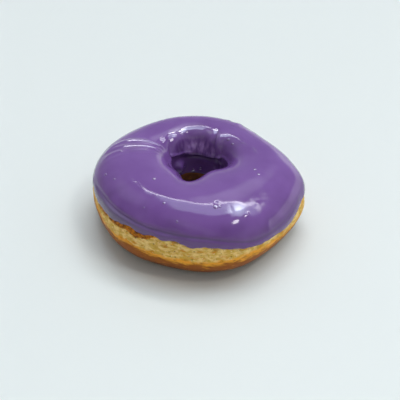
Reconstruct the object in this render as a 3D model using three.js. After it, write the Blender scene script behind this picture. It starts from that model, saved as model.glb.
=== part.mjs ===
// Iced ring doughnut: a fried ring of yeast dough, dipped upside down in glaze.
//
// Millimetres, +Z up. The ring rests on its flat foot at z = 0, and its box is
// centred on the vertical axis. The dough ring and the icing follow one formula:
// "around" is the angle round the ring, 0 at +X and 90 at +Y, and "turn" is the
// angle round its cross-section, which is 0 at the outer equator, 90 on the
// crest, 180 at the waist of the hole and 270 under the foot.

import * as THREE from 'three';
import { ParametricGeometry } from 'three/addons/geometries/ParametricGeometry.js';
import { mergeVertices } from 'three/addons/utils/BufferGeometryUtils.js';

// The dough ring.
const RING_RADIUS = 46.9; // mean radius of the outer equator
const RING_WAVES = [
  { count: 1, peak: 88, height: 1.05 },
  { count: 2, peak: -50, height: 1.7 },
  { count: 3, peak: -30, height: 0.6 },
  { count: 4, peak: -4, height: 0.85 },
  { count: 5, peak: 5, height: 0.75 },
  { count: 6, peak: -10, height: 0.45 },
];
const RING_LOBES = [{ at: -6.5, width: 8, size: 1.2 }]; // the dough swells at the right
const HOLE_CENTRE = new THREE.Vector2(0.5, 11); // the hole closed up off the middle
const HOLE_RADIUS = 11.8; // mean radius of the hole's waist
const HOLE_LOBES = [
  { at: -150, width: 25, size: 0.6 },
  { at: -101, width: 22, size: 6.8 }, // the pointed corner of the hole
  { at: -62, width: 18, size: -1.4 },
  { at: -20, width: 26, size: 2.2 },
  { at: 15, width: 30, size: 2.5 },
  { at: 110, width: 50, size: 2.2 },
];
const CREST_HEIGHT = 30;
const CREST_LOBES = [
  { at: -90, width: 70, size: 1.5 },
  { at: 90, width: 50, size: -1.5 },
];
const OUTER_EQUATOR = 14; // height of the widest line of the outside
const HOLE_WAIST = 17; // height of the narrowest line of the hole
const FOOT_CUT = 1.2; // depth that the flat foot takes off the round underside

// How square each quarter of the cross-section is: 2 is an ellipse.
const OUTER_TOP = 2.12;
const HOLE_TOP = 2.45;
const HOLE_BOTTOM = 3.2;
const OUTER_BOTTOM = 2.25;
const HOLE_TOP_LOBES = [
  { at: 126, width: 16, size: 1.6 }, // squarer at both ends of the hole's back wall
  { at: 58, width: 13, size: 1.5 },
];

// The back wall of the hole stands back below its tightly rounded rim: how far, the turns over
// which it steps back, and where round the ring.
const STAND_BACK = 1.6;
const STAND_BACK_TURNS = { from: 112, full: 150, easing: 190, none: 230 };
const BACK_OF_HOLE = [{ at: 88, width: 45, size: 1 }];

// The icing.
const CLEARANCE = 0.3; // between the dough and the underside of the icing
const GLAZE = 1.3; // thickness of the glaze, over the top and the sides
const RIM = 0.75; // thickness of its outer edge
const RIM_WIDTH = 14; // degrees of turn over which the edge thickens to the full glaze
const COAT = 0.55; // thickness of the thin coat in the lower part of the hole
const LEDGE_TURN = 156; // where the glaze steps down to the thin coat
const LEDGE_LOBES = [{ at: 85, width: 58, size: 21 }];
const LEDGE_WIDTH = 8; // degrees of turn that the step takes
const HOLE_EDGE_TURN = 210; // turn of the coat's lower edge inside the hole

// The icing's outer edge: turn of the edge at places round the ring. The ring was dipped less
// deep at the left front and deeper at the right front.
const OUTER_EDGE = [
  [-180, 17],
  [-160, 16],
  [-132, 25],
  [-119, 22],
  [-102, 23.5],
  [-91, 18],
  [-80, 19.5],
  [-60, 10],
  [-36, 2],
  [-24, 8],
  [-14, 17],
  [-4, 16],
  [14, 8],
  [37, 14],
  [50, 8],
  [80, 17],
  [96, 9],
  [120, 16],
  [143, 7],
  [170, 17],
  [180, 17],
];

// Facets.
const STEPS_AROUND = 90;
const STEPS_PER_SECTION = 28;
const STEPS_ACROSS_ICING = 15;

const degrees = THREE.MathUtils.degToRad;

// Sum of soft lobes: each is "size" high at its angle and fades over its width.
function lobes(list, around) {
  return list.reduce((sum, lobe) => {
    const away = THREE.MathUtils.euclideanModulo(around - lobe.at + 180, 360) - 180;
    return sum + lobe.size * Math.exp(-((away / lobe.width) ** 2));
  }, 0);
}

// Radius of the outer equator.
function outerRadius(around) {
  return RING_WAVES.reduce(
    (sum, wave) => sum + wave.height * Math.cos(degrees(wave.count * (around - wave.peak))),
    RING_RADIUS + lobes(RING_LOBES, around),
  );
}

// Squareness of the quarter that holds a turn.
function squareness(around, cosine, sine) {
  if (sine >= 0) return cosine >= 0 ? OUTER_TOP : HOLE_TOP + lobes(HOLE_TOP_LOBES, around);
  return cosine >= 0 ? OUTER_BOTTOM : HOLE_BOTTOM;
}

// How far the back wall of the hole stands back from the plain form.
function standBack(around, turn) {
  const { from, full, easing, none } = STAND_BACK_TURNS;
  const along = THREE.MathUtils.euclideanModulo(turn, 360);
  const steppedBack = THREE.MathUtils.smoothstep(along, from, full);
  const eased = THREE.MathUtils.smoothstep(along, easing, none);
  return STAND_BACK * (steppedBack - eased) * lobes(BACK_OF_HOLE, around);
}

// Turn of the icing's outer edge.
function outerEdge(around) {
  const angle = THREE.MathUtils.euclideanModulo(around + 180, 360) - 180;
  const after = OUTER_EDGE.findIndex(([at], index) => index > 0 && at >= angle);
  const [[from, low], [to, high]] = OUTER_EDGE.slice(after - 1, after + 1);
  return THREE.MathUtils.mapLinear(angle, from, to, low, high);
}

// Point of the dough's surface.
function doughPoint(around, turn) {
  const direction = new THREE.Vector2(Math.cos(degrees(around)), Math.sin(degrees(around)));
  const inner = direction.clone().multiplyScalar(HOLE_RADIUS + lobes(HOLE_LOBES, around));
  inner.add(HOLE_CENTRE);
  const outer = direction.clone().multiplyScalar(outerRadius(around));

  const cosine = Math.cos(degrees(turn));
  const sine = Math.sin(degrees(turn));
  const power = squareness(around, cosine, sine);
  const reach = (Math.abs(cosine) ** power + Math.abs(sine) ** power) ** (-1 / power);

  const plan = inner.lerp(outer, 0.5 + 0.5 * reach * cosine);
  plan.addScaledVector(direction, standBack(around, turn));
  const widest = cosine >= 0 ? OUTER_EQUATOR : HOLE_WAIST;
  const crest = CREST_HEIGHT + lobes(CREST_LOBES, around);
  const rise = sine >= 0 ? crest - widest : widest + FOOT_CUT;
  return new THREE.Vector3(plan.x, plan.y, Math.max(0, widest + rise * reach * sine));
}

// Point a given distance above the dough's surface, along its normal.
function pointAbove(around, turn, distance) {
  const step = 0.5;
  const along = doughPoint(around + step, turn).sub(doughPoint(around - step, turn));
  const across = doughPoint(around, turn + step).sub(doughPoint(around, turn - step));
  const normal = along.cross(across).normalize();
  return doughPoint(around, turn).addScaledVector(normal, distance);
}

// Distance from the dough to the icing's outer face.
function icingTop(around, turn, firstTurn) {
  const swell = THREE.MathUtils.smoothstep(turn, firstTurn, firstTurn + RIM_WIDTH);
  const halfStep = LEDGE_WIDTH / 2;
  const ledge = LEDGE_TURN + lobes(LEDGE_LOBES, around);
  const drop = THREE.MathUtils.smoothstep(turn, ledge - halfStep, ledge + halfStep);
  return CLEARANCE + RIM + (GLAZE - RIM) * swell + (COAT - GLAZE) * drop;
}

// Closed ring from a function that gives the point at (around, share of section).
function closedRing(pointAt, stepsInSection) {
  const surface = (u, v, target) => target.copy(pointAt(360 * u, v));
  const geometry = new ParametricGeometry(surface, STEPS_AROUND, stepsInSection);
  geometry.deleteAttribute('normal');
  geometry.deleteAttribute('uv');
  return mergeVertices(geometry, 1e-3);
}

function doughRing() {
  return closedRing((around, share) => doughPoint(around, 360 * share), STEPS_PER_SECTION);
}

// The icing's section runs over its outer face from the outer edge to the edge in
// the hole, steps down to its underside, and runs back along it.
function icing() {
  const steps = STEPS_ACROSS_ICING;
  const loop = 2 * (steps + 1);
  const pointAt = (around, share) => {
    const index = Math.round(share * loop) % loop;
    const onTop = index <= steps;
    const across = (onTop ? index : 2 * steps + 1 - index) / steps;
    const firstTurn = outerEdge(around);
    const turn = THREE.MathUtils.lerp(firstTurn, HOLE_EDGE_TURN, across);
    return pointAbove(around, turn, onTop ? icingTop(around, turn, firstTurn) : CLEARANCE);
  };
  return closedRing(pointAt, loop);
}

function piece(name, geometry, material) {
  const mesh = new THREE.Mesh(geometry, new THREE.MeshStandardMaterial(material));
  mesh.name = name;
  return mesh;
}

const group = new THREE.Group();
group.add(
  piece('dough_ring', doughRing(), { color: 0xc98a3e, roughness: 0.75, metalness: 0 }),
  piece('icing', icing(), { color: 0x7a569b, roughness: 0.12, metalness: 0 }),
);

// Centre the whole ring's box on the vertical axis, with its foot at z = 0.
const box = new THREE.Box3().setFromObject(group);
const middle = box.getCenter(new THREE.Vector3());
group.children.forEach((mesh) => mesh.geometry.translate(-middle.x, -middle.y, -box.min.z));

export default group;
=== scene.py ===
# Iced ring doughnut: a fine dough ring, its glossy purple icing and the bubbles set in it, in the
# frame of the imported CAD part. Shape values are in millimetres and degrees: "around" is
# the angle round the ring, 0 at +X and 90 at +Y, and "turn" is the angle round its section, 0 at
# the outer equator, 90 on the crest, 180 at the waist of the hole and 270 under the foot.

import itertools
import math

import bmesh
import bpy
import numpy as np
from mathutils import Matrix, Vector


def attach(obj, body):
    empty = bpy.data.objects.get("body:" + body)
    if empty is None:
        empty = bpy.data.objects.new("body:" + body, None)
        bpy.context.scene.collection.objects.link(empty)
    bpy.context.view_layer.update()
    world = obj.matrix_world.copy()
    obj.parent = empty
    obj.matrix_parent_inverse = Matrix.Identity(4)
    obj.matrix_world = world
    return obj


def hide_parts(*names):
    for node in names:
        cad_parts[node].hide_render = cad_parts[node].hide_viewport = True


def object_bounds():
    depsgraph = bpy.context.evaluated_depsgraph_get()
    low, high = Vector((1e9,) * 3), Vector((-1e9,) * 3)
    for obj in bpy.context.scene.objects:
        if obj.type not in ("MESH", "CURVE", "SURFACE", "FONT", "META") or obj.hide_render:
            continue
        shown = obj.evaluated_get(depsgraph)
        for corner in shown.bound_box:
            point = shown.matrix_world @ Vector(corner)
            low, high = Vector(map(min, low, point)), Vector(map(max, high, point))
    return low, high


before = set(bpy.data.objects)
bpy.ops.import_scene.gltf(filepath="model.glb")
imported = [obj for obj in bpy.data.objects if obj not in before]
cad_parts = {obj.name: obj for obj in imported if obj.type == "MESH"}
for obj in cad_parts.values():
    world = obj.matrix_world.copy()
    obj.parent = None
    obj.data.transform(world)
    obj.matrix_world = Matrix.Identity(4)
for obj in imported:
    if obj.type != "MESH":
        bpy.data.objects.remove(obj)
cad_low, cad_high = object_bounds()

MM = 0.001

# ---------------------------------------------------------------- the ring, as in the CAD model

RING_RADIUS = 46.9
RING_WAVES = [  # count, peak, height
    (1, 88, 1.05),
    (2, -50, 1.7),
    (3, -30, 0.6),
    (4, -4, 0.85),
    (5, 5, 0.75),
    (6, -10, 0.45),
]
RING_LOBES = [(-6.5, 8, 1.2)]  # around, width, size of a swelling of the outside
HOLE_CENTRE = (0.5, 11.0)
HOLE_RADIUS = 11.8
HOLE_LOBES = [  # around, width, size
    (-150, 25, 0.6),
    (-101, 22, 6.8),
    (-62, 18, -1.4),
    (-20, 26, 2.2),
    (15, 30, 2.5),
    (110, 50, 2.2),
]
CREST_HEIGHT = 30.0
CREST_LOBES = [(-90, 70, 1.5), (90, 50, -1.5)]
OUTER_EQUATOR = 14.0
HOLE_WAIST = 17.0
FOOT_CUT = 1.2
OUTER_TOP, HOLE_TOP, HOLE_BOTTOM, OUTER_BOTTOM = 2.12, 2.45, 3.2, 2.25
HOLE_TOP_LOBES = [(126, 16, 1.6), (58, 13, 1.5)]  # squarer at both ends of the hole's back wall
# How far the hole's back wall stands back under its rim and at its middle, the turns over which
# that grows, eases and ends, and where round the ring it is.
BACK_UNDER_RIM, BACK_MIDDLE = 2.6, 1.6
BACK_GROWS, BACK_EASES, BACK_ENDS = (110, 156), (146, 185), (190, 230)
BACK_OF_HOLE = [(88, 45, 1)]
SWELL, SWELL_WIDTH = 0.3, 17  # slow unevenness of the dough
MM_PER_DEGREE = 0.29  # length along the section of one degree of turn

# The wall of the hole, where it stands back from the plain form, or bulges in where negative:
# around, turn, their widths, and how far.
HOLE_WALL = [
    (82, 180, 44, 5.0, 2.4),  # the groove under the glaze's ledge
    (130, 190, 15, 12, -3.6),  # a lobe of dough that bulges in from the left
    (95, 235, 50, 15, -2.0),  # the swollen lower wall
    (75, 206, 34, 9, -1.0),  # the swelling between the groove and the lower wall
]
# Upright folds of that wall: around at the fold turn, lean, width, size, first and last turn.
FOLD_TURN = 170
FOLD_FADE_IN, FOLD_FADE_OUT = 14, 18
HOLE_FOLDS = [
    (45, 0.31, 5.5, 1.7, 106, 186),  # the crease at the right of the back wall
    (35, 0.37, 4.0, -1.4, 107, 190),  # the fold beside it
    (165, -0.78, 6.5, 0.9, 108, 180),  # the crease at the left
]


def away(angle, centre):
    """Signed angle from a centre, from -180 to 180 degrees."""
    return (angle - centre + 180) % 360 - 180


def lobes(around, rows):
    """Sum of soft lobes round the ring."""
    return sum(size * np.exp(-((away(around, at) / width) ** 2)) for at, width, size in rows)


def patches(around, turn, rows):
    """Sum of soft patches, each fading round the ring and round the section."""
    return sum(
        size * np.exp(-((away(around, at) / wide) ** 2) - (away(turn, height) / tall) ** 2)
        for at, height, wide, tall, size in rows
    )


def smooth(value, low, high):
    """Soft step from 0 at low to 1 at high."""
    share = np.clip((value - low) / (high - low), 0, 1)
    return share * share * (3 - 2 * share)


def lumps(points, size, seed):
    """Smooth noise in space, from -1 to 1, in lumps of about that size."""
    cells = 32
    grid = np.random.default_rng(seed).uniform(-1, 1, (cells,) * 3)
    place = points / size
    corner = np.floor(place).astype(int)
    part = place - corner
    part = part * part * (3 - 2 * part)
    total = 0
    for step in itertools.product((0, 1), repeat=3):
        weight = np.prod(np.where(step, part, 1 - part), axis=-1)
        x, y, z = np.moveaxis((corner + step) % cells, -1, 0)
        total = total + weight * grid[x, y, z]
    return total


def section_power(around, cosine, sine):
    """Squareness of the quarter of the section that holds each turn."""
    top = np.where(cosine >= 0, OUTER_TOP, HOLE_TOP + lobes(around, HOLE_TOP_LOBES))
    bottom = np.where(cosine >= 0, OUTER_BOTTOM, HOLE_BOTTOM)
    return np.where(sine >= 0, top, bottom)


def hole_folds(around, turn):
    """Upright folds and creases of the hole's wall."""
    total = 0
    for at, lean, width, size, first, last in HOLE_FOLDS:
        across = away(around, at + lean * (FOLD_TURN - turn)) / width
        begun = smooth(turn, first, first + FOLD_FADE_IN)
        ended = smooth(turn, last, last + FOLD_FADE_OUT)
        total = total + size * np.exp(-(across**2)) * begun * (1 - ended)
    return total


def shoulder(around, turn):
    """How far the back of the hole stands back below its tightly rounded rim."""
    back = BACK_UNDER_RIM * smooth(turn, *BACK_GROWS)
    back = back - (BACK_UNDER_RIM - BACK_MIDDLE) * smooth(turn, *BACK_EASES)
    back = back - BACK_MIDDLE * smooth(turn, *BACK_ENDS)
    return back * lobes(around, BACK_OF_HOLE)


def outer_radius(around):
    """Radius of the outer equator."""
    waves = sum(
        height * np.cos(np.radians(count * (around - peak))) for count, peak, height in RING_WAVES
    )
    return RING_RADIUS + waves + lobes(around, RING_LOBES)


def plain_ring(around, turn):
    """Points of the ring, with its hole's folds and without the small unevenness of its surface."""
    direction = np.stack([np.cos(np.radians(around)), np.sin(np.radians(around))], -1)
    hole = HOLE_RADIUS + lobes(around, HOLE_LOBES)
    inner = np.array(HOLE_CENTRE) + hole[..., None] * direction
    outer = outer_radius(around)[..., None] * direction

    cosine, sine = np.cos(np.radians(turn)), np.sin(np.radians(turn))
    power = section_power(around, cosine, sine)
    reach = (np.abs(cosine) ** power + np.abs(sine) ** power) ** (-1 / power)
    share = 0.5 + 0.5 * reach * cosine
    plan = inner + (outer - inner) * share[..., None]
    stand_back = patches(around, turn, HOLE_WALL) + hole_folds(around, turn)
    stand_back = stand_back + shoulder(around, turn)
    plan = plan + direction * stand_back[..., None]

    widest = np.where(cosine >= 0, OUTER_EQUATOR, HOLE_WAIST)
    crest = CREST_HEIGHT + lobes(around, CREST_LOBES)
    rise = np.where(sine >= 0, crest - widest, widest + FOOT_CUT)
    height = np.maximum(0, widest + rise * reach * sine)
    return np.concatenate([plan, height[..., None]], -1)


def body(around, turn):
    """Points of the dough's body and its outward normals."""
    step = 0.4
    points = plain_ring(around, turn)
    along = plain_ring(around + step, turn) - plain_ring(around - step, turn)
    across = plain_ring(around, turn + step) - plain_ring(around, turn - step)
    normals = np.cross(along, across)
    normals /= np.linalg.norm(normals, axis=-1, keepdims=True)
    swell = SWELL * lumps(points, SWELL_WIDTH, 3) * smooth(points[..., 2], 0, 4)
    return points + normals * swell[..., None], normals


# ---------------------------------------------------------------- the icing's thickness

# The icing's outer edge, round the ring: around, turn.
OUTER_EDGE = [
    (-180, 17), (-174, 18), (-169, 15.5), (-163, 15.5), (-158, 17), (-152, 18.5), (-146.5, 18.5),
    (-142, 20), (-137, 23), (-132, 25), (-129, 26), (-126, 24), (-123, 22), (-120, 21.5),
    (-117, 24), (-113.5, 24.5), (-111, 22.5), (-109, 21), (-106, 21.5), (-102.5, 24), (-99.5, 23),
    (-96, 19.5), (-93, 17.5), (-90, 18.5), (-85, 20.5), (-80, 19.5), (-75, 17.5), (-70, 15.5),
    (-65, 12.5), (-59, 9.5), (-54, 7), (-49, 6), (-42, 4.5), (-35, 1), (-29, 3.5), (-24, 8),
    (-20, 12.5), (-15, 16.5), (-7, 17.5), (2, 12), (14, 7), (26, 12), (38, 15), (47, 8), (53, 9),
    (66, 16), (80, 18), (92, 10), (98, 8), (106, 14), (120, 17), (134, 12), (143, 6), (150, 9),
    (163, 15), (172, 18), (180, 17),
]
# The shallow valley above the thickened skirt of the icing: around, turn.
SKIRT_LINE = [
    (-180, 30), (-168, 32), (-156, 35), (-132, 36), (-117, 34), (-98, 33), (-85, 32.5), (-78, 30),
    (-70, 25.5), (-62, 20), (-55, 18), (-34, 19), (-10, 30), (180, 30),
]
GLAZE = 1.5
RIM = 0.75  # thickness just inside the outer edge
RIM_WIDTH = 5  # distance from the edge over which the icing gets its full thickness
COAT = 0.55  # thickness of the thin coat in the lower part of the hole
EDGE_ROUND = 1.1  # distance over which the outer edge rounds off
EDGE_WAVES = [(41, 1, 0.3), (67, 0, 0.22), (97, 2, 0.15)]  # its fine wobble: count, phase, height
TUCK = 0.25  # how deep the icing's underside sits in the dough

# The skirt: where it is thickened, the bead's height, its distance below the line and its spread
# above and below, and the valley's height, distance above the line and width.
SKIRT_LOBES = [(-90, 58, 0.6), (-145, 28, 0.9)]
BEAD, BEAD_DROP, BEAD_ABOVE, BEAD_BELOW = 0.6, 1.3, 0.9, 3.0
VALLEY, VALLEY_RISE, VALLEY_WIDTH = 0.45, 0.1, 0.6
# Where the skirt carries a painted grey reflection of the floor, and where a painted reflection
# line runs along the line above it: around, width, amount.
SKIRT_FLOOR_REFLECTION = [(-144, 29, 1), (-90, 34, 0.15)]
SEAM_REFLECTION_LOBES = [(-90, 60, 1)]
SEAM_WIDTH = 0.35
# A drip: around, height, the turns over which it fades, and its steep left and long right side.
DRIP_AT, DRIP, DRIP_FADES = -113.5, 0.6, (26, 36)
DRIP_LEFT, DRIP_RIGHT = (-0.6, 0.9), (2, 18)

# The ledge in the hole, where the glaze steps down to the thin coat: its turn, with lobes and a
# wobble round the ring, half its width, and the lip above it.
LEDGE_TURN, LEDGE_LOBES = 156.0, [(85, 58, 21)]
LEDGE_WOBBLE, LEDGE_WAVES = 0.8, 9
LEDGE_HALF = 1.2
LIP, LIP_ABOVE, LIP_WIDTH = 0.45, 3, 3.5
LEDGE_BEGINS = (136, 146)
# The coat's lower edge: its turn, the distance over which it rounds off, and its bead.
HOLE_EDGE_TURN = 210.0
HOLE_EDGE_ROUND = 0.7
LOWER_BEAD, LOWER_BEAD_PLACE = 0.35, 0.8

# Flows, folds and dents of the glaze: around, turn, their widths, and height.
GLAZE_FLOWS = [
    (-49, 24, 2.2, 10, 0.35),  # a run at the front right
    (-131, 73, 7, 14, 0.12),  # shallow lumps in front of the crest
    (-67.3, 49.3, 3.5, 8, 0.05),
    (-63.7, 58, 4.0, 3.5, 0.08),
    (-59.5, 50.5, 1.4, 2.6, 0.22),
    (-72.5, 58, 3.4, 1.6, 0.14),
    (-68, 62, 1.0, 4.5, -0.14),
    (-76.3, 73, 1.8, 3.0, -0.16),
    (-49.3, 56.6, 2.2, 1.4, 0.10),
    (5.3, 104.8, 3.2, 1.2, 0.10),  # short ridges at the right of the hole
    (20.3, 113.4, 1.8, 1.0, 0.08),
    (57, 62, 3.0, 9, 0.4),  # bumps of the back edge
    (47, 60, 2.5, 8, -0.2),
    (66, 64, 2.5, 8, 0.25),
]
SLOW_WAVES, FAST_WAVES = (0.12, 11, 5), (0.05, 5, 6)  # height, width, seed

# Skin wrinkles across the back left: around on the crest, bow, width, height.
WRINKLES = [
    (154.5, 0.0035, 2.2, 0.42),
    (159.0, 0.0015, 1.2, 0.12),
    (164.5, 0.0003, 2.0, 0.36),
    (171.0, 0.0008, 2.2, 0.34),
    (177, 0.0005, 2.0, 0.14),
]
WRINKLE_MIDDLE = 104  # the turn that they bow round
WRINKLES_BEGIN, WRINKLES_END = (44, 62), (122, 140)
# Fine terraces on the rim of the hole: where, height, and waves round the section and the ring.
TERRACES = [(130, 125, 20, 9, 1)]
TERRACE_HEIGHT, TERRACE_COUNT, TERRACE_DRIFT = 0.08, 72, 4
# Where the glaze is wettest: the rim of the hole, a spot in front, the wrinkles and the ridges.
WET = [
    (117, 122, 12, 8, 1), (96, 119, 22, 6, 1), (66, 124, 16, 6, 1), (45, 122, 7, 12, 0.8),
    (-63.7, 59, 4.5, 6, 1.4), (161, 92, 9, 26, 0.7), (5.3, 105, 5, 3, 1), (20, 113, 4, 3, 1),
]
# The hole's back wall, where the icing ran down and is thin, and the runs on it.
HOLE_BACK = [(82, 158, 40, 15, 1)]
RUN_HEIGHT, RUN_WIDTH, UPRIGHT = 0.09, 1.1, [1, 1, 0.1]


def glaze_edge(around):
    """Turn of the icing's outer edge, with a fine wobble."""
    angle = np.radians(around)
    wobble = sum(height * np.sin(count * angle + phase) for count, phase, height in EDGE_WAVES)
    table = np.array(OUTER_EDGE, float).T
    steps = [np.interp(away(around + step, 0), *table) for step in (-1, 0, 1)]
    return sum(steps) / 3 + wobble


def ripples(around, turn, points):
    """Low waves in the glaze: wrinkles at the back left, terraces on the rim of the hole, and
    upright runs down its back wall."""
    wrinkles = 0
    for at, bow, width, height in WRINKLES:
        aside = away(around, at + bow * (turn - WRINKLE_MIDDLE) ** 2) / width
        wrinkles = wrinkles + height * np.exp(-(aside**2))
    wrinkles = wrinkles * smooth(turn, *WRINKLES_BEGIN) * (1 - smooth(turn, *WRINKLES_END))
    wave = np.cos(np.radians(turn * TERRACE_COUNT - around * TERRACE_DRIFT))
    terraces = TERRACE_HEIGHT * wave * patches(around, turn, TERRACES)
    runs = RUN_HEIGHT * lumps(points * UPRIGHT, RUN_WIDTH, 21) * patches(around, turn, HOLE_BACK)
    return wrinkles + terraces + runs


def from_skirt_line(around, turn):
    """Distance above the valley that tops the icing's thickened skirt."""
    line = np.interp(away(around, 0), *np.array(SKIRT_LINE, float).T)
    return (turn - line) * MM_PER_DEGREE


def skirt_reflection_mask(around, turn):
    """How much painted grey reflection of the floor the skirt carries: 1 at its left, less in
    front, and 0 above it.
    """
    above = smooth(from_skirt_line(around, turn), -0.7, 0.3)
    return lobes(around, SKIRT_FLOOR_REFLECTION) * (1 - above)


def seam_reflection_mask(around, turn):
    """1 along the front of the line that tops the skirt, where a painted reflection line lies, and
    0 elsewhere.
    """
    across = from_skirt_line(around, turn) / SEAM_WIDTH
    return lobes(around, SEAM_REFLECTION_LOBES) * np.exp(-(across**2))


def skirt_swell(around, turn):
    """The bead along the skirt and the valley above it."""
    from_line = from_skirt_line(around, turn)
    spread = np.where(from_line > -BEAD_DROP, BEAD_ABOVE, BEAD_BELOW)
    bead = BEAD * np.exp(-(((from_line + BEAD_DROP) / spread) ** 2))
    valley = VALLEY * np.exp(-(((from_line - VALLEY_RISE) / VALLEY_WIDTH) ** 2))
    return lobes(around, SKIRT_LOBES) * (bead - valley)


def drip(around, turn):
    """A drip of the skirt, steep on its left."""
    aside = away(around, DRIP_AT)
    across = smooth(aside, *DRIP_LEFT) * (1 - smooth(aside, *DRIP_RIGHT))
    return DRIP * across * (1 - smooth(turn, *DRIP_FADES))


def ledge_step(around, turn):
    """The lip of the glaze in the hole, and its step down to the thin coat."""
    wobble = LEDGE_WOBBLE * np.sin(np.radians(around * LEDGE_WAVES))
    ledge = LEDGE_TURN + lobes(around, LEDGE_LOBES) + wobble
    past_ledge = smooth(turn, ledge - LEDGE_HALF, ledge + LEDGE_HALF)
    lip = LIP * np.exp(-((away(turn, ledge - LIP_ABOVE) / LIP_WIDTH) ** 2))
    return (lip - (GLAZE - COAT) * past_ledge) * smooth(turn, *LEDGE_BEGINS)


def quarter_round(share):
    """Height of a quarter circle at a share of its width."""
    return np.sqrt(1 - (1 - np.clip(share, 0, 1)) ** 2)


def glaze_top(around, turn, points):
    """Distance from the icing's underside, which is sunk in the dough, to its outer face."""
    from_edge = (turn - glaze_edge(around)) * MM_PER_DEGREE
    rise = quarter_round(from_edge / EDGE_ROUND)
    full = RIM + (GLAZE - RIM) * smooth(from_edge, 0, RIM_WIDTH)
    full = full + skirt_swell(around, turn)
    full = full + drip(around, turn)
    full = full + ledge_step(around, turn)

    to_end = (HOLE_EDGE_TURN - turn) * MM_PER_DEGREE
    fall = quarter_round(to_end / HOLE_EDGE_ROUND)
    lower_bead = LOWER_BEAD * np.exp(-(((to_end - LOWER_BEAD_PLACE) / LOWER_BEAD_PLACE) ** 2))

    waves = 0
    for height, width, seed in (SLOW_WAVES, FAST_WAVES):
        waves = waves + height * lumps(points, width, seed)
    waves = waves + ripples(around, turn, points) + patches(around, turn, GLAZE_FLOWS)
    return (full + lower_bead + waves * smooth(from_edge, 0, 2)) * rise * fall


# ---------------------------------------------------------------- meshes


SPUN_RADIUS = 2  # of the plain ring that is spun, whose section has radius 1
CUTS = 9  # how finely each step of the spin is cut again


def spun_ring(name, segments, steps):
    """A plain ring spun from a circle and cut finer, and each vertex's angle round the ring and
    share of the section."""
    bm = bmesh.new()
    upright = Matrix.Translation((SPUN_RADIUS, 0, 0)) @ Matrix.Rotation(math.pi / 2, 4, "X")
    bmesh.ops.create_circle(bm, cap_ends=False, segments=segments, radius=1, matrix=upright)
    bmesh.ops.spin(
        bm, geom=bm.verts[:] + bm.edges[:], cent=(0, 0, 0), axis=(0, 0, 1),
        angle=math.tau, steps=steps // (CUTS + 1), use_merge=True,
    )
    section_edge = math.tau / segments
    along = [edge for edge in bm.edges if edge.calc_length() > 2 * section_edge]
    bmesh.ops.subdivide_edges(bm, edges=along, cuts=CUTS, use_grid_fill=True)
    bmesh.ops.recalc_face_normals(bm, faces=bm.faces)
    mesh = bpy.data.meshes.new(name)
    bm.to_mesh(mesh)
    bm.free()
    mesh.shade_smooth()

    flat = np.empty(len(mesh.vertices) * 3)
    mesh.vertices.foreach_get("co", flat)
    x, y, z = flat.reshape(-1, 3).T
    around = np.degrees(np.arctan2(y, x))
    place = np.arctan2(z, np.hypot(x, y) - SPUN_RADIUS) / math.tau
    share = np.round(place * segments) % segments / segments
    return mesh, around, share


def set_points(mesh, points, shift):
    """Moves a mesh's vertices to points in millimetres, shifted into the row frame."""
    mesh.vertices.foreach_set("co", ((points + shift) * MM).ravel())
    mesh.update()


def set_attribute(mesh, name, values):
    """Stores one number for each vertex, for a material to read."""
    layer = mesh.attributes.new(name, "FLOAT", "POINT")
    layer.data.foreach_set("value", np.asarray(values, np.float32))


# Where the dough's fine sections lie: share of the section, turn. The visible side is densest.
DOUGH_SPREAD = [(0, -110), (0.1, -70), (0.62, 32), (0.72, 170), (1, 250)]
# Lower and upper edge of the pale band that floated above the oil: around, turn.
BAND_LOW = [
    (-180, 6), (-160, 6), (-149, 0), (-140, 1), (-131, 3), (-119, -2), (-105, -5), (-93, -4),
    (-83, -3), (-72, 1), (-60, 3), (-52, -2), (-38, -7), (-26, -8), (-12, -5), (0, 0), (30, 3),
    (60, -1), (95, 2), (130, 4), (160, 2), (180, 6),
]
BAND_HIGH = [
    (-180, 14), (-160, 13), (-150, 14.5), (-140, 15.5), (-132, 17.5), (-125, 15.5), (-118, 17),
    (-111, 26), (-90, 27), (0, 30), (90, 24), (130, 20), (180, 14),
]

# Relief of the dough, in height and width: bumps of the crumb, its pores and how deep the band
# lies, and the crust's unevenness.
CRUMB_BUMPS, FINE_CRUMB_BUMPS = (0.2, 2.6), (0.14, 1.5)
PORE_DEPTH, PORE_WIDTH, BAND_DEPTH = 0.5, 2.1, 0.3
CRUST_BUMPS, FINE_CRUST_BUMPS = (0.12, 5), (0.03, 1.6)


def above_edge(around, turn, edge):
    """Distance above one edge of the pale band."""
    edge_turn = np.interp(away(around, 0), *np.array(edge, float).T)
    return (away(turn, 0) - edge_turn) * MM_PER_DEGREE


def dough_relief(points, above_low, above_high):
    """Height of the crumb and the crust over the dough's body."""
    edge_noise = 0.7 * lumps(points, 6, 11) + 0.4 * lumps(points, 2.5, 12)
    in_band = smooth(above_low + edge_noise, -0.5, 0.9) * (1 - smooth(above_high, -0.4, 0.6))
    height, width = CRUMB_BUMPS
    crumb = height * lumps(points, width, 13)
    height, width = FINE_CRUMB_BUMPS
    crumb = crumb + height * lumps(points * [1, 1, 1.7], width, 14)
    pores = PORE_DEPTH * smooth(lumps(points * [1, 1, 1.5], PORE_WIDTH, 15), 0.25, 0.7)
    height, width = CRUST_BUMPS
    crust = height * lumps(points, width, 16)
    height, width = FINE_CRUST_BUMPS
    crust = crust + height * lumps(points, width, 17)
    relief = in_band * (crumb - pores - BAND_DEPTH) + (1 - in_band) * crust
    return relief * smooth(points[..., 2], 0, 2.5)


def dough_points(around, turn):
    """Points of the dough's surface, and how far each lies above the pale band's two edges."""
    points, normals = body(around, turn)
    above_low = above_edge(around, turn, BAND_LOW)
    above_high = above_edge(around, turn, BAND_HIGH)
    relief = dough_relief(points, above_low, above_high)
    return points + normals * relief[..., None], above_low, above_high


def dough_share_to_turn(share):
    """Turn of each vertex of the dough's section."""
    return np.interp(share, *np.array(DOUGH_SPREAD, float).T)


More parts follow.
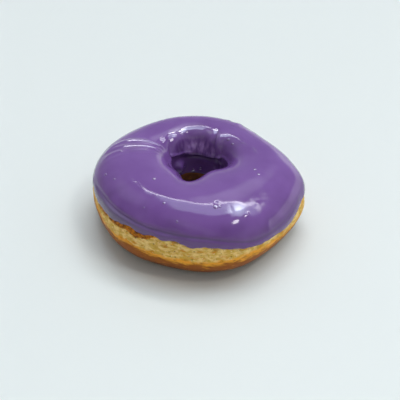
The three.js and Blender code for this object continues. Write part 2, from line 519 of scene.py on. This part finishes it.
# How the icing's fine sections are spread: the outer face's part of the section, turns past the
# outer edge near it, and, beyond, shares of the way to the hole's edge.
TOP_SHARE = 0.9
NEAR_EDGE = [(0, 0), (0.02, 0.5), (0.045, 1.5), (0.07, 3.2), (0.1, 6)]
BEYOND = [(0.1, 0), (0.62, 0.74), (0.86, 0.88), (0.95, 0.97), (1, 1)]


def icing_share_to_turn(share, around):
    """Turn of each vertex of the icing's section, and whether it lies on the underside. The outer
    face runs from the outer edge to the hole, and the underside runs back."""
    first = glaze_edge(around)
    under = share >= TOP_SHARE
    forward = np.where(under, 1 - (share - TOP_SHARE) / (1 - TOP_SHARE), share / TOP_SHARE)
    near_edge = first + np.interp(forward, *np.array(NEAR_EDGE).T)
    near_share, near_turns = NEAR_EDGE[-1]
    start = first + near_turns
    beyond = start + (HOLE_EDGE_TURN - start) * np.interp(forward, *np.array(BEYOND).T)
    plain = first + (HOLE_EDGE_TURN - first) * forward
    return np.where(under, plain, np.where(forward < near_share, near_edge, beyond)), under


def icing_points(around, share):
    """Points of the icing's closed shell."""
    turn, under = icing_share_to_turn(share, around)
    points, normals = body(around, turn)
    top = glaze_top(around, turn, points)
    distance = np.where(under, 0, top) - TUCK
    return points + normals * distance[..., None]


# Bubbles set in the glaze: around, turn, radius. They are flattened, and sunk by a little.
BUBBLE_FLATNESS, BUBBLE_SINK = 0.4, 0.02
BUBBLES = [
    (-111.7, 69.5, 0.7), (-100.7, 49.3, 0.5), (-77.3, 68.6, 1.1), (-74.7, 68.3, 0.8),
    (-132.3, 97.3, 0.8), (-26.7, 97, 0.7), (-30, 87, 0.7), (-170, 51.4, 0.6), (27.3, 127, 0.6),
    (-159.7, 58.6, 0.5),
    (38.7, 123.5, 0.7), (96, 205, 0.9), (82, 202, 0.8), (172, 76.6, 0.5), (-124, 55, 0.4),
]


def bubble_mesh(shift):
    """Low domes, with their lower halves in the glaze."""
    bm = bmesh.new()
    for around, turn, radius in BUBBLES:
        at = np.array([around], float), np.array([turn], float)
        point, normal = body(*at)
        top = glaze_top(*at, point) - TUCK
        centre = Vector((point + normal * (top[0] - BUBBLE_SINK) + shift)[0]) * MM
        tilt = Vector(normal[0]).to_track_quat("Z", "Y").to_matrix().to_4x4()
        place = Matrix.Translation(centre) @ tilt @ Matrix.Diagonal((1, 1, BUBBLE_FLATNESS, 1))
        bmesh.ops.create_uvsphere(
            bm, u_segments=20, v_segments=12, radius=radius * MM, matrix=place
        )
    mesh = bpy.data.meshes.new("icing_bubbles")
    bm.to_mesh(mesh)
    bm.free()
    mesh.shade_smooth()
    set_attribute(mesh, "wetness", np.ones(len(mesh.vertices)))
    return mesh


# ---------------------------------------------------------------- materials


def add(tree, kind, inputs=None, **settings):
    """Adds a node, with its settings, and its inputs linked or set."""
    made = tree.nodes.new(kind)
    for name, value in settings.items():
        setattr(made, name, value)
    for key, value in (inputs or {}).items():
        if isinstance(value, bpy.types.NodeSocket):
            tree.links.new(value, made.inputs[key])
        else:
            made.inputs[key].default_value = value
    return made


def maths(tree, operation, first, second=0.0, third=0.0, clamp=False):
    """A Math node's result."""
    made = add(tree, "ShaderNodeMath", {0: first, 1: second, 2: third}, operation=operation)
    made.use_clamp = clamp
    return made.outputs[0]


def soft_step(tree, value, low, high):
    """0 below low, 1 above high, and smooth between."""
    made = add(
        tree, "ShaderNodeMapRange",
        {"Value": value, "From Min": low, "From Max": high}, interpolation_type="SMOOTHSTEP",
    )
    return made.outputs["Result"]


def blend(tree, share, first, second):
    """A mix of two colours."""
    made = add(tree, "ShaderNodeMix", data_type="RGBA")
    for socket, value in (("Factor_Float", share), ("A_Color", first), ("B_Color", second)):
        target = next(s for s in made.inputs if s.identifier == socket)
        if isinstance(value, bpy.types.NodeSocket):
            tree.links.new(value, target)
        else:
            target.default_value = value
    return next(s for s in made.outputs if s.identifier == "Result_Color")


def mottle_group():
    """Shared by both finishes: soft noise on the object, from -1 to 1, in spots of a given size,
    flattened by a given amount."""
    group = bpy.data.node_groups.new("mottle", "ShaderNodeTree")
    for name, value in (("Spot Size", 0.005), ("Detail", 2.0), ("Flatness", 1.0)):
        socket = group.interface.new_socket(name, in_out="INPUT", socket_type="NodeSocketFloat")
        socket.default_value = value
    group.interface.new_socket("Level", in_out="OUTPUT", socket_type="NodeSocketFloat")
    given = add(group, "NodeGroupInput").outputs
    place = add(group, "ShaderNodeTexCoord").outputs["Object"]
    squeeze = add(group, "ShaderNodeCombineXYZ", {"X": 1.0, "Y": 1.0, "Z": given["Flatness"]})
    place = add(
        group, "ShaderNodeVectorMath", {0: place, 1: squeeze.outputs[0]}, operation="MULTIPLY"
    )
    noise = add(
        group, "ShaderNodeTexNoise",
        {
            "Vector": place.outputs[0],
            "Scale": maths(group, "DIVIDE", 1.0, given["Spot Size"]),
            "Detail": given["Detail"],
        },
    )
    level = maths(group, "MULTIPLY_ADD", noise.outputs["Fac"], 4.0, -2.0)
    result = add(group, "NodeGroupOutput")
    group.links.new(level, result.inputs["Level"])
    return group


MOTTLE = mottle_group()


def mottle(tree, size, detail=2.0, flatness=1.0):
    """Soft noise from the shared group."""
    made = add(tree, "ShaderNodeGroup", node_tree=MOTTLE)
    made.inputs["Spot Size"].default_value = size
    made.inputs["Detail"].default_value = detail
    made.inputs["Flatness"].default_value = flatness
    return made.outputs["Level"]


def new_material(name):
    """An empty material, and its node tree and shader."""
    material = bpy.data.materials.new(name)
    material.use_nodes = True
    tree = material.node_tree
    tree.nodes.clear()
    shader = add(tree, "ShaderNodeBsdfPrincipled")
    add(tree, "ShaderNodeOutputMaterial", {"Surface": shader.outputs[0]})
    return material, tree, shader


def attribute(tree, name):
    """A number stored with each vertex."""
    return add(tree, "ShaderNodeAttribute", attribute_name=name).outputs["Fac"]


def above_floor(tree, size, detail, flatness, amount):
    """Height over the floor in metres, made uneven by soft noise."""
    place = add(tree, "ShaderNodeTexCoord").outputs["Object"]
    height = add(tree, "ShaderNodeSeparateXYZ", {0: place}).outputs["Z"]
    return maths(tree, "MULTIPLY_ADD", mottle(tree, size, detail, flatness), amount, height)


def tinted(tree, mask, amount, first, second):
    """The first colour with the second over it by a part of a mask."""
    return blend(tree, maths(tree, "MULTIPLY", mask, amount), first, second)


PALE_CRUMB = (0.93, 0.66, 0.25, 1)
YELLOW_CRUMB = (0.70, 0.43, 0.075, 1)
GOLDEN_CRUMB = (0.70, 0.29, 0.03, 1)
PORE_BROWN = (0.26, 0.11, 0.02, 1)
CRUMB_FLECK = (1.0, 0.86, 0.56, 1)
CRUST_AMBER = (0.60, 0.20, 0.012, 1)
CRUST_GOLD = (0.90, 0.40, 0.030, 1)
CRUST_ORANGE = (0.33, 0.095, 0.011, 1)
# dark browning, also used as painted shade
DARK_CRUST_AND_SHADE = (0.125, 0.038, 0.010, 1)


def crumb_colour(tree):
    """The pale band: streaks of two yellows, golden patches, pale flecks and brown pores."""
    streaks = soft_step(tree, mottle(tree, 0.0028, 5, 2.2), -0.5, 0.5)
    colour = blend(tree, streaks, YELLOW_CRUMB, PALE_CRUMB)
    golden = soft_step(tree, mottle(tree, 0.0040, 4, 2.0), 0.2, 0.9)
    colour = blend(tree, golden, colour, GOLDEN_CRUMB)
    flecks = soft_step(tree, mottle(tree, 0.0011, 2, 1.4), 0.55, 0.95)
    colour = tinted(tree, flecks, 0.7, colour, CRUMB_FLECK)
    pores = soft_step(tree, mottle(tree, 0.0014, 3, 1.8), 0.4, 0.9)
    return tinted(tree, pores, 0.75, colour, PORE_BROWN)


def crust_colour(tree, above_low):
    """The crust below the band: golden at the band, browner below it and darkest near the floor,
    that last darkening partly browning and partly painted shade, with dark freckles and golden
    streaks."""
    depth = maths(tree, "MULTIPLY_ADD", mottle(tree, 0.007, 3, 2.0), 1.8, above_low)
    depth = maths(tree, "MULTIPLY_ADD", mottle(tree, 0.0022, 3, 3.0), 0.8, depth)
    colour = blend(tree, soft_step(tree, depth, -0.4, -3.2), CRUST_GOLD, CRUST_ORANGE)
    # Painted shade with some deeper browning: darker below about 9.5 mm, at the foot and deep in
    # the hole.
    low = above_floor(tree, 0.006, 3, 2.0, 0.0012)
    colour = blend(tree, soft_step(tree, low, 0.0095, 0.003), colour, DARK_CRUST_AND_SHADE)
    freckles = soft_step(tree, mottle(tree, 0.0030, 5, 2.6), 0.0, 1.0)
    colour = tinted(tree, freckles, 0.6, colour, DARK_CRUST_AND_SHADE)
    streaks = soft_step(tree, mottle(tree, 0.0042, 4, 3.0), 0.2, 1.0)
    return tinted(tree, streaks, 0.45, colour, CRUST_GOLD)


def dough_material():
    """Fried dough: a smooth brown crust below and on top, and a pale, porous band between."""
    material, tree, shader = new_material("fried_dough")
    above_low = attribute(tree, "above_low")
    above_high = attribute(tree, "above_high")
    coarse = mottle(tree, 0.006, 3, 1.6)
    fine = mottle(tree, 0.0016, 3, 1.6)
    low_edge = maths(tree, "MULTIPLY_ADD", coarse, 0.8, above_low)
    low_edge = maths(tree, "MULTIPLY_ADD", fine, 0.4, low_edge)
    high_edge = maths(tree, "MULTIPLY_ADD", coarse, 0.9, above_high)
    high_edge = maths(tree, "MULTIPLY_ADD", fine, 0.6, high_edge)
    in_band = soft_step(tree, low_edge, -0.9, 0.7)
    browned_top = soft_step(tree, high_edge, -0.4, 0.4)

    # Painted shade over real browning: the top crust under the icing's edge is mixed darker.
    top_crust_and_shade = blend(tree, soft_step(tree, fine, -0.5, 0.9), CRUST_AMBER, DARK_CRUST_AND_SHADE)
    colour = blend(tree, in_band, crust_colour(tree, above_low), crumb_colour(tree))
    colour = blend(tree, browned_top, colour, top_crust_and_shade)

    grain = maths(tree, "MULTIPLY_ADD", mottle(tree, 0.0007, 3), 0.5, mottle(tree, 0.002, 3))
    relief = maths(tree, "MULTIPLY", grain, maths(tree, "MULTIPLY_ADD", in_band, 0.75, 0.25))
    bump = add(tree, "ShaderNodeBump", {"Height": relief, "Distance": 0.00012, "Strength": 0.8})
    rough = maths(tree, "MULTIPLY_ADD", in_band, 0.28, 0.5)

    tree.links.new(colour, shader.inputs["Base Color"])
    tree.links.new(rough, shader.inputs["Roughness"])
    tree.links.new(bump.outputs[0], shader.inputs["Normal"])
    shader.inputs["Specular IOR Level"].default_value = 0.2
    shader.inputs["Subsurface Weight"].default_value = 0.12
    shader.inputs["Subsurface Radius"].default_value = (1.0, 0.5, 0.2)
    shader.inputs["Subsurface Scale"].default_value = 0.0015
    return material


# Dullness and IOR of the set glaze and of its wet bubbles.
SET_GLAZE, WET_GLAZE = (0.10, 1.5), (0.03, 1.9)
ICING_PURPLE = (0.205, 0.092, 0.325, 1)
ICING_DEEP = (0.180, 0.075, 0.292, 1)
ICING_THIN = (0.46, 0.27, 0.62, 1)
# painted grey reflection of the floor, on the skirt
GREY_FLOOR_REFLECTION = (0.145, 0.112, 0.185, 1)
# painted shade for the lower glaze
ICING_LOW_SHADE = (0.138, 0.058, 0.225, 1)
# painted reflection line along the top of the skirt
ICING_SEAM_REFLECTION = (0.085, 0.078, 0.092, 1)


def glaze_colour(tree):
    """Faintly clouded purple with painted shade that deepens it lower down, paler where it is thin,
    with a painted grey reflection of the floor on the left of the skirt, and a painted reflection
    line along the line above it."""
    clouds = soft_step(tree, mottle(tree, 0.014, 3), -0.7, 0.9)
    colour = blend(tree, clouds, ICING_PURPLE, ICING_DEEP)
    # Painted shade: the glaze is darker lower down, below about 31 mm above the floor.
    height = above_floor(tree, 0.012, 2, 1.0, 0.004)
    colour = blend(tree, soft_step(tree, height, 0.031, 0.020), colour, ICING_LOW_SHADE)
    streaks = soft_step(tree, mottle(tree, 0.0016, 3, 0.12), -0.9, 0.9)
    thin = maths(tree, "MULTIPLY", attribute(tree, "thinness"), streaks)
    colour = blend(tree, thin, colour, ICING_THIN)
    # Painted reflection: the floor's grey on the skirt.
    colour = tinted(tree, attribute(tree, "skirt"), 0.75, colour, GREY_FLOOR_REFLECTION)
    # Painted reflection: a grey line along the top of the skirt in front.
    return tinted(tree, attribute(tree, "reflected_seam"), 0.5, colour, ICING_SEAM_REFLECTION)


def icing_material(name, dullness, ior):
    """Set glaze: glossy, with faint dimples and a wet coat in places."""
    material, tree, shader = new_material(name)
    dimples = maths(tree, "MULTIPLY_ADD", mottle(tree, 0.0025, 2), 0.4, mottle(tree, 0.008, 2))
    bump = add(tree, "ShaderNodeBump", {"Height": dimples, "Distance": 0.00002, "Strength": 0.6})
    rough = maths(tree, "MULTIPLY_ADD", mottle(tree, 0.010, 2), dullness / 5, dullness)
    tree.links.new(glaze_colour(tree), shader.inputs["Base Color"])
    tree.links.new(rough, shader.inputs["Roughness"])
    tree.links.new(bump.outputs[0], shader.inputs["Normal"])
    tree.links.new(attribute(tree, "wetness"), shader.inputs["Coat Weight"])
    shader.inputs["Coat Roughness"].default_value = 0.05
    shader.inputs["Coat IOR"].default_value = 1.8
    shader.inputs["IOR"].default_value = ior
    return material


# ---------------------------------------------------------------- the pieces


def piece(name, mesh, material, slot, *replaced):
    """A finished piece on the one body, standing for CAD nodes."""
    made = bpy.data.objects.new(name, mesh)
    bpy.context.scene.collection.objects.link(made)
    mesh.materials.append(material)
    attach(made, "root")
    if replaced:
        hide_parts(*replaced)
    return made


def build_doughnut():
    """Builds all pieces, and returns how the ring's own frame shifts into the row frame."""
    dough_mesh, dough_around, dough_share = spun_ring("dough", 180, 500)
    dough_turn = dough_share_to_turn(dough_share)
    dough, above_low, above_high = dough_points(dough_around, dough_turn)
    icing_mesh, icing_around, icing_share = spun_ring("icing", 220, 440)
    icing = icing_points(icing_around, icing_share)
    icing_turn, _ = icing_share_to_turn(icing_share, icing_around)

    both = np.concatenate([dough, icing])
    middle = (both.min(0) + both.max(0)) / 2
    cad_middle = np.array(cad_low + cad_high) / 2 / MM
    shift = cad_middle - middle
    shift[2] = 0

    set_points(dough_mesh, dough, shift)
    set_attribute(dough_mesh, "above_low", above_low)
    set_attribute(dough_mesh, "above_high", above_high)
    set_points(icing_mesh, icing, shift)
    set_attribute(icing_mesh, "thinness", patches(icing_around, icing_turn, HOLE_BACK))
    set_attribute(icing_mesh, "wetness", patches(icing_around, icing_turn, WET))
    # The skirt's painted grey reflection of the floor, and the painted reflection line along its
    # top.
    set_attribute(icing_mesh, "skirt", skirt_reflection_mask(icing_around, icing_turn))
    set_attribute(icing_mesh, "reflected_seam", seam_reflection_mask(icing_around, icing_turn))

    glaze = icing_material("purple_icing", *SET_GLAZE)
    wet_glaze = icing_material("wet_purple_icing", *WET_GLAZE)
    piece("fried_dough_ring", dough_mesh, dough_material(), "fried_dough", "dough_ring")
    piece("purple_icing", icing_mesh, glaze, "purple_icing", "icing")
    piece("icing_bubbles", bubble_mesh(shift), wet_glaze, "purple_icing")
    return shift


# ---------------------------------------------------------------- camera, floor and light

CAMERA_LIFT = 37.5  # degrees above the horizon
CAMERA_DISTANCE = 380.0
CAMERA_LENS = 74.5
EYE_TARGET = (0, 0, 14)  # the point that the camera's distance and lift are counted from
CAMERA_AIM = (2.0, -2.0, 11.3)  # the point in the middle of the view

# Room light, by direction from the doughnut. The low pale wall's top, as the sine of its
# elevation, at the sides, and how much higher it stands in front and at the right.
LOW_WALL_TOP, LOW_WALL_SOFTNESS = 0.13, 0.02
LOW_WALL_RISE, LOW_WALL_RIGHT = 0.30, 0.16
LOW_DIM = (0.45, 0.46, 0.42, 1)
LOW_MIDDLE = (0.57, 0.58, 0.54, 1)
LOW_BRIGHT = (1.35, 1.38, 1.40, 1)
WALL_DIM = (0.19, 0.19, 0.185, 1)
WALL_BRIGHT = (0.42, 0.44, 0.48, 1)
CLUTTER = (0.55, 0.55, 0.60, 1)  # paler shapes on the camera's side of the room
HAZE_WHITE = (3.0, 3.1, 3.3, 1)
HAZE = [  # soft light beside the panel: direction, cosine at its rim, strength
    ((0.20, 0.86, 1.0), 0.965, 0.45),
    ((-0.80, 0.60, 1.0), 0.95, 0.16),
]

# The ceiling panel, in places on a ceiling of height 1: across to the right, and depth behind the
# doughnut. Its far side is brightest, and slants to either side, its near side slants at the left,
# and it fades out at the right.
LOWEST_CEILING = 0.05  # sine of the elevation below which places are no longer told apart
PANEL = (2.3, 2.7, 3.2, 1)
PANEL_EDGE = (11.0, 11.2, 11.6, 1)
PANEL_SPOT = (5.4, 6.1, 6.9, 1)
PANEL_SPOT_AIM, PANEL_SPOT_RIM, PANEL_SPOT_CORE = (0.42, 0.40, 1.0), 0.984, 0.997
PANEL_LEFT, PANEL_LEFT_SOFTNESS = -0.322, 0.006
PANEL_RIGHT = (1.35, 0.75)  # where it starts, and where it is full
PANEL_FAR, PANEL_FAR_SOFTNESS = 0.62, 0.02
PANEL_LEFT_SLANT, PANEL_NEAR_SLANT, PANEL_NEAR_SOFTNESS = 1.1, 0.35, 0.05
PANEL_RIGHT_SLANT, PANEL_RIGHT_BEND = 0.5, 0.35
PANEL_EDGE_DEPTH, PANEL_EDGE_SOFTNESS = 0.08, 0.02

RIGHT_SOFTBOX = (0.61, -0.26, 1.12)
SOFTBOX_SIZE, SOFTBOX_POWER = (0.25, 0.19), 1.7
SOFTBOX_WHITE = (1.0, 0.99, 0.97)
FLOOR_HALF_SIZE, FLOOR_DULLNESS = 6, 0.55
FLOOR_PALE = (0.82, 0.84, 0.78, 1)


def aimed(obj, place, aim):
    """Puts an object at a place and turns its -Z towards the aim."""
    obj.location = place
    obj.rotation_euler = (Vector(aim) - Vector(place)).to_track_quat("-Z", "Y").to_euler()
    bpy.context.scene.collection.objects.link(obj)
    return obj


def camera(shift):
    """The camera, in front of the doughnut and above it."""
    data = bpy.data.cameras.new("camera")
    data.lens = CAMERA_LENS
    data.sensor_width = 36
    data.clip_start = 0.01
    lift = math.radians(CAMERA_LIFT)
    back = np.array([0, -math.cos(lift), math.sin(lift)])
    eye = np.array(EYE_TARGET) + CAMERA_DISTANCE * back
    made = bpy.data.objects.new("camera", data)
    aim = np.array(CAMERA_AIM)
    bpy.context.scene.camera = aimed(made, (eye + shift) * MM, (aim + shift) * MM)


def softbox(name, place):
    """An oval softbox, aimed at the foot of the doughnut."""
    data = bpy.data.lights.new(name, "AREA")
    data.shape = "ELLIPSE"
    data.size, data.size_y = SOFTBOX_SIZE
    data.energy = SOFTBOX_POWER
    data.color = SOFTBOX_WHITE
    aimed(bpy.data.objects.new(name, data), place, (0, 0, 0))


def floor():
    """The pale floor that the doughnut rests on."""
    bm = bmesh.new()
    bmesh.ops.create_grid(bm, x_segments=1, y_segments=1, size=FLOOR_HALF_SIZE)
    mesh = bpy.data.meshes.new("floor")
    bm.to_mesh(mesh)
    bm.free()
    made = bpy.data.objects.new("floor", mesh)
    bpy.context.scene.collection.objects.link(made)
    material, _, shader = new_material("pale_floor")
    shader.inputs["Base Color"].default_value = FLOOR_PALE
    shader.inputs["Roughness"].default_value = FLOOR_DULLNESS
    mesh.materials.append(material)


def upper_walls(tree, view, x, y):
    """Walls, paler to the right and behind, with paler shapes on the camera's side."""
    sideways = maths(tree, "MULTIPLY_ADD", x, 0.45, maths(tree, "MULTIPLY", y, 0.9))
    walls = blend(tree, soft_step(tree, sideways, -0.7, 0.8), WALL_DIM, WALL_BRIGHT)
    clutter = add(tree, "ShaderNodeTexNoise", {"Vector": view, "Scale": 2.2, "Detail": 1.0})
    clutter = soft_step(tree, clutter.outputs["Fac"], 0.47, 0.62)
    clutter = maths(tree, "MULTIPLY", clutter, soft_step(tree, y, 0.0, -0.4))
    return blend(tree, clutter, walls, CLUTTER)


def with_low_wall(tree, colour, x, y, z):
    """The low pale wall below the given colours: dimmer at the left, brightest at the right."""
    low = blend(tree, soft_step(tree, x, -0.8, -0.1), LOW_DIM, LOW_MIDDLE)
    right = maths(tree, "MULTIPLY", soft_step(tree, x, 0.1, 0.45), soft_step(tree, y, -0.35, 0.1))
    low = blend(tree, right, low, LOW_BRIGHT)
    front = maths(tree, "MAXIMUM", maths(tree, "MULTIPLY", y, -1.0), 0.0)
    height = maths(tree, "MULTIPLY_ADD", front, -LOW_WALL_RISE, z)
    height = maths(tree, "MULTIPLY_ADD", right, -LOW_WALL_RIGHT, height)
    lowest, highest = LOW_WALL_TOP - LOW_WALL_SOFTNESS, LOW_WALL_TOP + LOW_WALL_SOFTNESS
    return blend(tree, soft_step(tree, height, lowest, highest), low, colour)


def round_glow(tree, view, aim, rim, core=1.0):
    """A soft round mask about a direction, from the cosine at its rim to that of its core."""
    centre = Vector(aim).normalized()
    close = add(tree, "ShaderNodeVectorMath", {0: view, 1: centre}, operation="DOT_PRODUCT")
    return soft_step(tree, close.outputs["Value"], rim, core)


def with_haze(tree, colour, view):
    """Soft light beside the panel, over the given colours."""
    for aim, rim, amount in HAZE:
        colour = tinted(tree, round_glow(tree, view, aim, rim), amount, colour, HAZE_WHITE)
    return colour


def panel_masks(tree, x, y, z):
    """Where the ceiling panel is, and the distance from its far side."""
    flat = maths(tree, "MAXIMUM", z, LOWEST_CEILING)
    across = maths(tree, "DIVIDE", x, flat)
    depth = maths(tree, "DIVIDE", y, flat)
    left = maths(tree, "MAXIMUM", maths(tree, "MULTIPLY", across, -1.0), 0.0)
    right = maths(tree, "MAXIMUM", maths(tree, "SUBTRACT", across, PANEL_RIGHT_BEND), 0.0)
    far = maths(tree, "MULTIPLY_ADD", left, PANEL_LEFT_SLANT, PANEL_FAR)
    far = maths(tree, "MULTIPLY_ADD", right, -PANEL_RIGHT_SLANT, far)
    to_far = maths(tree, "SUBTRACT", far, depth)
    from_near = maths(tree, "MULTIPLY_ADD", left, -PANEL_NEAR_SLANT, depth)
    lowest, highest = PANEL_LEFT - PANEL_LEFT_SOFTNESS, PANEL_LEFT + PANEL_LEFT_SOFTNESS
    inside = soft_step(tree, from_near, 0.0, PANEL_NEAR_SOFTNESS)
    for mask in (
        soft_step(tree, to_far, 0.0, PANEL_FAR_SOFTNESS),
        soft_step(tree, across, lowest, highest),
        soft_step(tree, across, *PANEL_RIGHT),
    ):
        inside = maths(tree, "MULTIPLY", inside, mask)
    return inside, to_far


def with_panel(tree, colour, view, x, y, z):
    """The ceiling panel over the given colours, with its bright far side and brighter spot."""
    inside, to_far = panel_masks(tree, x, y, z)
    spot = round_glow(tree, view, PANEL_SPOT_AIM, PANEL_SPOT_RIM, PANEL_SPOT_CORE)
    sheet = blend(tree, spot, PANEL, PANEL_SPOT)
    edge = soft_step(tree, to_far, PANEL_EDGE_DEPTH + PANEL_EDGE_SOFTNESS, PANEL_EDGE_DEPTH)
    return blend(tree, inside, colour, blend(tree, edge, sheet, PANEL_EDGE))


def surroundings():
    """A plain pale room: walls, a low pale wall, haze and a bright ceiling panel."""
    world = bpy.data.worlds.new("room")
    bpy.context.scene.world = world
    world.use_nodes = True
    tree = world.node_tree
    tree.nodes.clear()
    view = add(tree, "ShaderNodeTexCoord").outputs["Generated"]
    x, y, z = add(tree, "ShaderNodeSeparateXYZ", {0: view}).outputs
    colour = upper_walls(tree, view, x, y)
    colour = with_low_wall(tree, colour, x, y, z)
    colour = with_haze(tree, colour, view)
    colour = with_panel(tree, colour, view, x, y, z)
    back = add(tree, "ShaderNodeBackground", {"Color": colour, "Strength": 1.0})
    add(tree, "ShaderNodeOutputWorld", {"Surface": back.outputs[0]})


shift = build_doughnut()
camera(shift)
floor()
surroundings()
softbox("right_softbox", RIGHT_SOFTBOX)
bpy.context.scene.view_settings.view_transform = "Standard"
